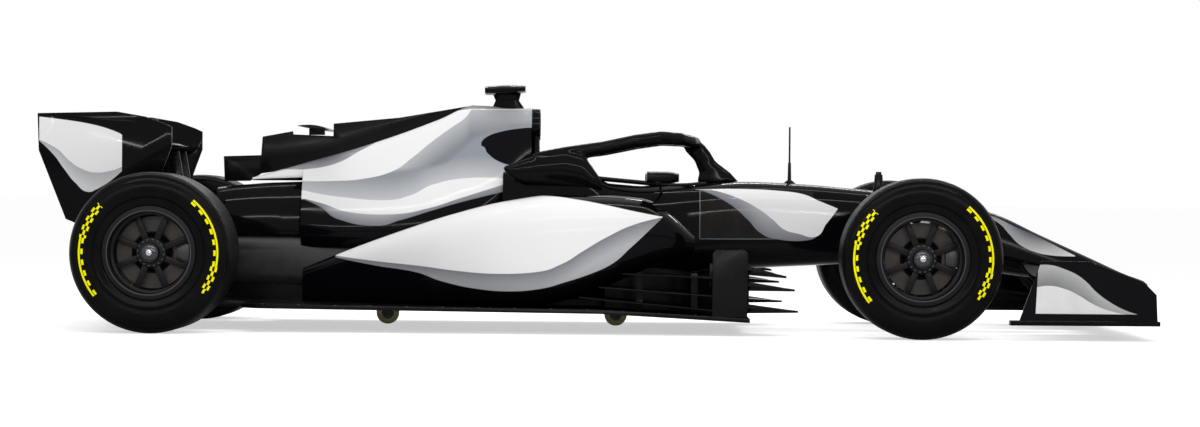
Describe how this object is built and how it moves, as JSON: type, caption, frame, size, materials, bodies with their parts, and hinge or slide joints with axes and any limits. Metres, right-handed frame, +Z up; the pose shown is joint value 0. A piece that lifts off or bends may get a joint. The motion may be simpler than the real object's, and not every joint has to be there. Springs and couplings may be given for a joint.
{
  "type": "open wheel racing car",
  "caption": "Single seat open wheel racing car with halo, sidepods, front and rear wings, bargeboards and slick tyres on dished rims.",
  "frame": {"origin": "on the ground under the middle of the car's length and width", "axes": "+X forward, +Y to the driver's left, +Z up"},
  "size_m": [4.83, 2, 1.0746],
  "materials": {
    "gloss_black": "glossy black lacquer",
    "gloss_white": "glossy white lacquer with grey flames",
    "carbon": "bare woven carbon, satin",
    "tyre": "slick rubber",
    "rim": "satin dark grey",
    "steel": "machined",
    "alloy": "machined",
    "pad": "black covered foam",
    "seat": "moulded shell",
    "caster_tread": "pale yellow polyurethane",
    "exhaust": "heat tinted"
  },
  "bodies": {
    "car": {"monocoque": "gloss_black", "nose_cone": "gloss_black", "front_wing_main": "gloss_black", "front_wing_flaps": "gloss_black", "front_wing_endplates": "gloss_white", "halo": "gloss_black", "headrest": "pad", "seat": "seat", "mirrors": "gloss_black", "masts": "carbon", "sidepod_right": "gloss_white", "sidepod_left": "gloss_white", "engine_cover": "gloss_white", "roll_hoop": "gloss_black", "camera_pod": "gloss_black", "shark_fin": "carbon", "gearbox_cowl": "carbon", "engine_block": "alloy", "gearbox": "alloy", "exhaust": "exhaust", "rear_crash_structure": "carbon", "floor": "carbon", "plank": "carbon", "diffuser": "carbon", "bargeboards": "carbon", "rear_wing_main": "gloss_black", "rear_wing_endplates": "gloss_white", "rear_wing_pylons": "carbon", "front_suspension": "carbon", "rear_suspension": "carbon", "rear_uprights": "alloy", "caster_forks": "steel"},
    "steering_wheel": {"steering_wheel": "carbon"},
    "rear_wing_flap": {"rear_wing_flap": "gloss_black"},
    "front_steering_right": {"front_upright_right": "alloy"},
    "front_steering_left": {"front_upright_left": "alloy"},
    "caster_wheel_front": {"caster_wheel_front": "caster_tread"},
    "caster_wheel_rear": {"caster_wheel_rear": "caster_tread"},
    "front_wheel_right": {"front_tyre_right": "tyre", "front_rim_right": "rim", "front_hub_right": "steel"},
    "front_wheel_left": {"front_tyre_left": "tyre", "front_rim_left": "rim", "front_hub_left": "steel"},
    "rear_wheel_right": {"rear_tyre_right": "tyre", "rear_rim_right": "rim", "rear_hub_right": "steel"},
    "rear_wheel_left": {"rear_tyre_left": "tyre", "rear_rim_left": "rim", "rear_hub_left": "steel"}
  },
  "joints": [
    {"name": "steer_right", "type": "hinge", "parent": "car", "child": "front_steering_right", "pos_m": [1.336, -0.8, 0.335], "axis": [0, 0, 1], "range_deg": [-17, 17]},
    {"name": "steer_left", "type": "hinge", "parent": "car", "child": "front_steering_left", "pos_m": [1.336, 0.8, 0.335], "axis": [0, 0, 1], "range_deg": [-17, 17]},
    {"name": "front_wheel_spin_right", "type": "hinge", "parent": "front_steering_right", "child": "front_wheel_right", "pos_m": [1.336, -0.8475, 0.335], "axis": [0, 1, 0], "continuous": true},
    {"name": "rear_wheel_spin_right", "type": "hinge", "parent": "car", "child": "rear_wheel_right", "pos_m": [-1.864, -0.7975, 0.335], "axis": [0, 1, 0], "continuous": true},
    {"name": "front_wheel_spin_left", "type": "hinge", "parent": "front_steering_left", "child": "front_wheel_left", "pos_m": [1.336, 0.8475, 0.335], "axis": [0, 1, 0], "continuous": true},
    {"name": "rear_wheel_spin_left", "type": "hinge", "parent": "car", "child": "rear_wheel_left", "pos_m": [-1.864, 0.7975, 0.335], "axis": [0, 1, 0], "continuous": true},
    {"name": "steering_wheel_turn", "type": "hinge", "parent": "car", "child": "steering_wheel", "pos_m": [0.51, 0, 0.52], "axis": [-0.9659, 0, 0.2588], "range_deg": [-170, 170]},
    {"name": "rear_flap_open", "type": "hinge", "parent": "car", "child": "rear_wing_flap", "pos_m": [-2.33, 0, 0.906], "axis": [0, -1, 0], "range_deg": [0, 14]},
    {"name": "caster_spin_front", "type": "hinge", "parent": "car", "child": "caster_wheel_front", "pos_m": [0.066, 0, 0.062], "axis": [0, 1, 0], "continuous": true},
    {"name": "caster_spin_rear", "type": "hinge", "parent": "car", "child": "caster_wheel_rear", "pos_m": [-0.944, 0, 0.062], "axis": [0, 1, 0], "continuous": true}
  ],
  "couplings": [
    {"joint": "steer_left", "follows": "steer_right", "ratio": 1},
    {"joint": "steering_wheel_turn", "follows": "steer_right", "ratio": 10}
  ]
}
